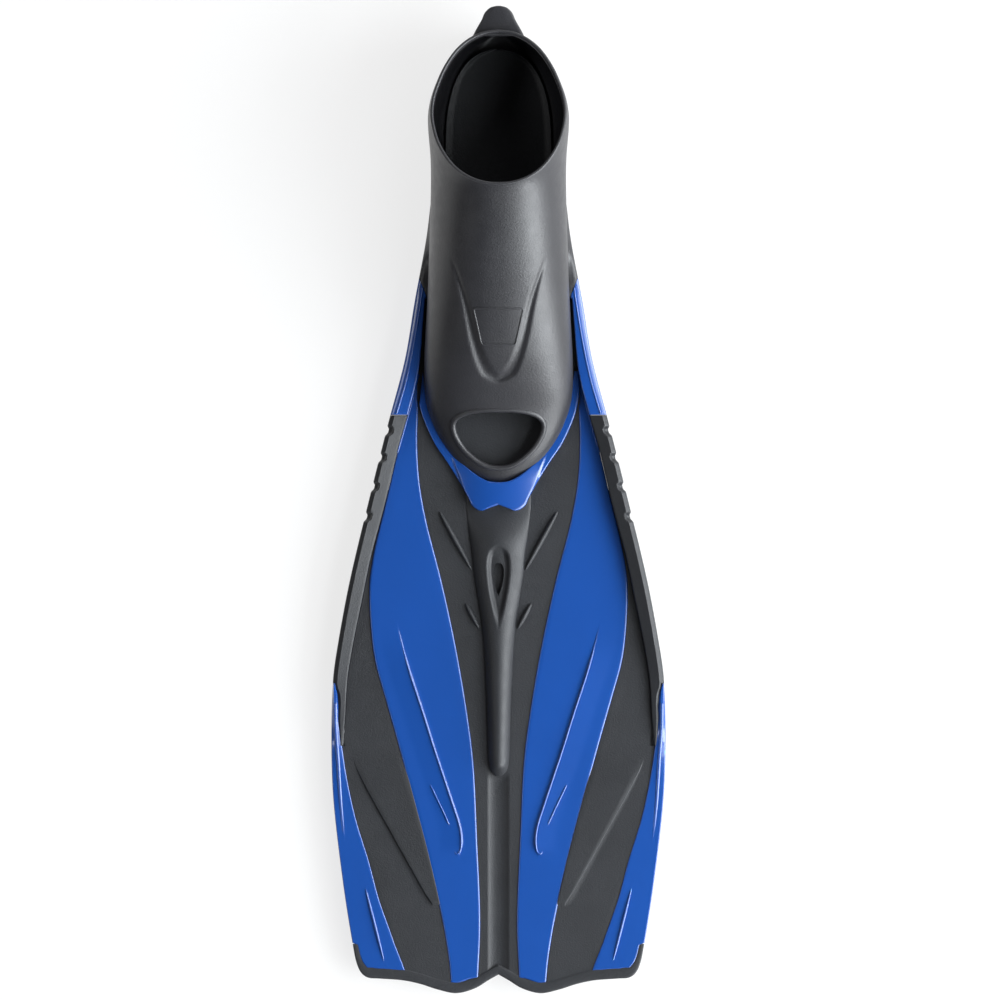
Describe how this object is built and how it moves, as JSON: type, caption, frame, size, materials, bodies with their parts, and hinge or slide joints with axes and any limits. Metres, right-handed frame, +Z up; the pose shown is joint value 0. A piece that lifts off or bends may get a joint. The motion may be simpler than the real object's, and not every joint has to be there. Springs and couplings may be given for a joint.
{
  "type": "swim fin",
  "caption": "Full-foot swim fin with a soft foot pocket, blue blade panels between black rubber channels, side rails, a raised centre keel with a vent and a sprung flexing blade.",
  "frame": {"origin": "centre of the bounding box, on the surface that the sole rests on", "axes": "+Z up out of the sole, +Y from the blade's tip to the heel, +X to the side; the fin is the same on both sides of X = 0"},
  "size_m": [0.1976, 0.582, 0.0922],
  "materials": {
    "pocket_rubber": "satin moulded rubber",
    "channel_rubber": "satin moulded rubber",
    "grip_rubber": "matt moulded rubber",
    "blue_plastic": "satin moulded polypropylene"
  },
  "bodies": {
    "foot": {"foot_pocket": "pocket_rubber", "footbed": "channel_rubber", "outsole": "pocket_rubber", "chassis": "blue_plastic", "rail_root_right": "blue_plastic", "rail_root_left": "blue_plastic", "grip_root_right": "grip_rubber", "grip_root_left": "grip_rubber", "panel_root_right": "blue_plastic", "panel_root_left": "blue_plastic", "channel_root_right": "channel_rubber", "channel_root_left": "channel_rubber"},
    "blade": {"rail_grip_right": "grip_rubber", "rail_grip_left": "grip_rubber", "inner_panel_right": "blue_plastic", "inner_panel_left": "blue_plastic", "outer_panel_right": "blue_plastic", "outer_panel_left": "blue_plastic", "outer_channel_right": "channel_rubber", "outer_channel_left": "channel_rubber", "centre_channel": "channel_rubber", "keel": "channel_rubber", "tip_hem": "channel_rubber"},
    "tab": {"heel_tab": "pocket_rubber"}
  },
  "joints": [
    {"name": "blade_flex", "type": "hinge", "parent": "foot", "child": "blade", "pos_m": [0, -0.008, 0.011], "axis": [1, 0, 0], "range_deg": [-25, 25], "stiffness_Nm_per_rad": 30},
    {"name": "heel_tab_flex", "type": "hinge", "parent": "foot", "child": "tab", "pos_m": [0, 0.2784, 0.053], "axis": [1, 0, 0], "range_deg": [-20, 35], "stiffness_Nm_per_rad": 0.05}
  ]
}
